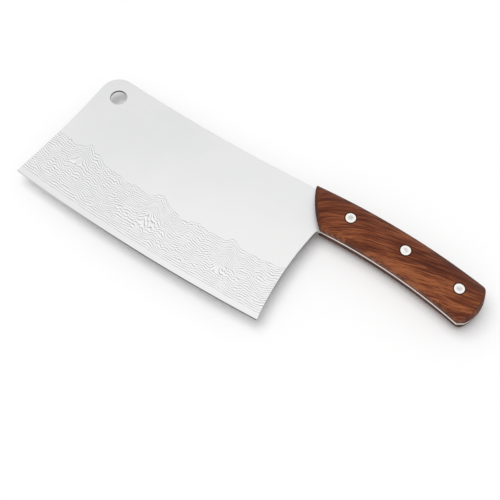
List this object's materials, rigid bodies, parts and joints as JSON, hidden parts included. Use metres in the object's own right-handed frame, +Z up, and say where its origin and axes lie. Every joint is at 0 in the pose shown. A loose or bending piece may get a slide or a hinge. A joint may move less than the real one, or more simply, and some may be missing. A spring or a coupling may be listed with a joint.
{
  "type": "chinese cleaver",
  "caption": "Chinese kitchen cleaver with a tall etched steel blade on a full tang, a hanging hole, and a curved wooden handle riveted through the tang.",
  "frame": {"origin": "below the middle of the whole cleaver as it lies flat, level with the lowest point of the lower scale", "axes": "+X from the front of the blade to the butt of the handle, +Y from the cutting edge to the spine, +Z up, square to the faces of the blade"},
  "size_m": [0.287, 0.1001, 0.0222],
  "materials": {
    "blade_steel": "satin brushed stainless steel, etched with fine wavy lines above the cutting edge",
    "rosewood": "oiled rosewood, satin",
    "rivet_steel": "polished stainless steel"
  },
  "bodies": {
    "root": {"blade": "blade_steel", "upper_scale": "rosewood", "lower_scale": "rosewood", "front_rivet_socket": "rivet_steel", "middle_rivet_socket": "rivet_steel", "rear_rivet_socket": "rivet_steel", "front_rivet_post": "rivet_steel", "middle_rivet_post": "rivet_steel", "rear_rivet_post": "rivet_steel"}
  },
  "joints": []
}
